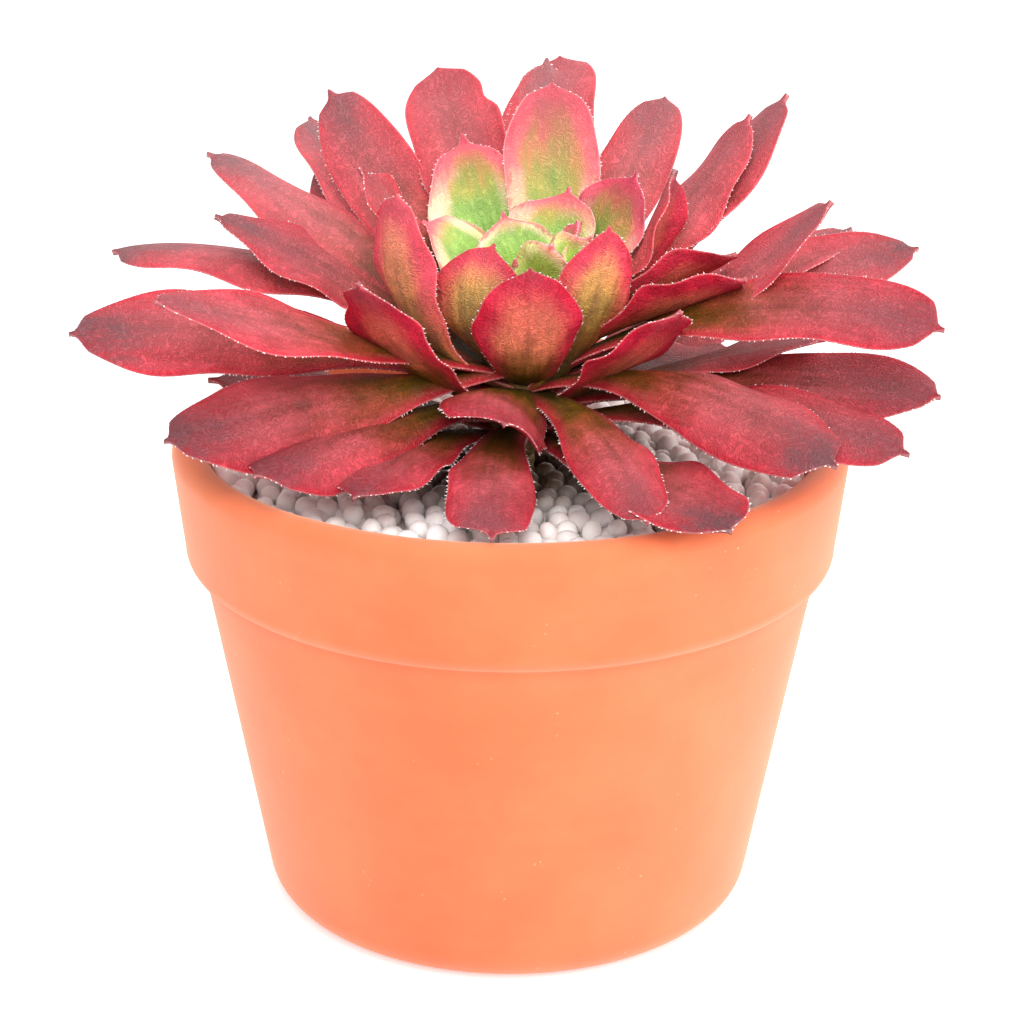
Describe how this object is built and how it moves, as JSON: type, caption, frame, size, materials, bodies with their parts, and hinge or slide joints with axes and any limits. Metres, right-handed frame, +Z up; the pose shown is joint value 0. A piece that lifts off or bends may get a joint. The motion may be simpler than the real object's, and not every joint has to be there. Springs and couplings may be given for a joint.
{
  "type": "potted aeonium",
  "caption": "Succulent with a loose spiral rosette of long spoon-shaped red leaves round a green heart, in a round terracotta pot topped with white gravel.",
  "frame": {"origin": "centre of the pot's foot, on the surface that the pot stands on", "axes": "+Z up along the pot's axis; -Y towards the front of the plant; +X to the right seen from the front"},
  "size_m": [0.1505, 0.1259, 0.1466],
  "materials": {
    "terracotta": "matte unglazed",
    "potting_soil": "matte",
    "white_gravel": "smooth matte",
    "stem_bark": "matte",
    "red_leaf": "satin",
    "green_leaf": "satin"
  },
  "bodies": {
    "root": {"pot": "terracotta", "potting_soil": "potting_soil", "gravel": "white_gravel", "stem": "stem_bark", "rosette": "red_leaf", "heart": "green_leaf"}
  },
  "joints": []
}
